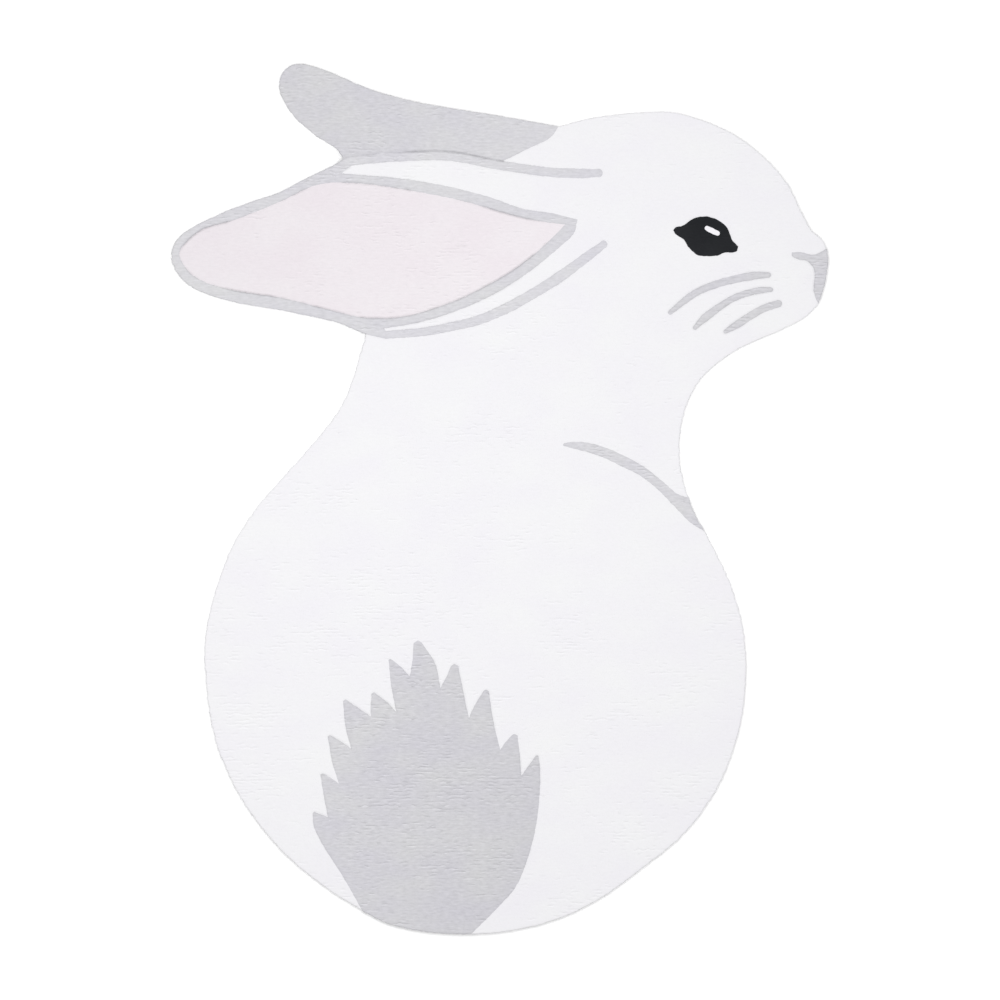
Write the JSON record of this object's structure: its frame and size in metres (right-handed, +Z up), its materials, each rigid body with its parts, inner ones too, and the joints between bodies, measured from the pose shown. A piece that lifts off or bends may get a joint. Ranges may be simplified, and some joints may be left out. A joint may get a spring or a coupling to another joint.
{
  "type": "rabbit shaped rug",
  "caption": "Flat tufted rug cut to the outline of a sitting rabbit seen from behind with its head turned, with narrow grooves carved between the pile colours.",
  "frame": {"origin": "On the surface the rug lies on, under the middle of its length and width", "axes": "+X towards the rabbit's nose, +Y towards its ears, +Z up out of the pile"},
  "size_m": [0.9044, 1.2, 0.012],
  "materials": {
    "pile_white": "short cut pile, white",
    "pile_grey": "short cut pile, cool light grey",
    "pile_pink": "short cut pile, very pale pink",
    "pile_black": "short cut pile, charcoal black",
    "base_cloth": "plain woven cotton base cloth"
  },
  "bodies": {
    "root": {"rug": "pile_white"}
  },
  "joints": []
}
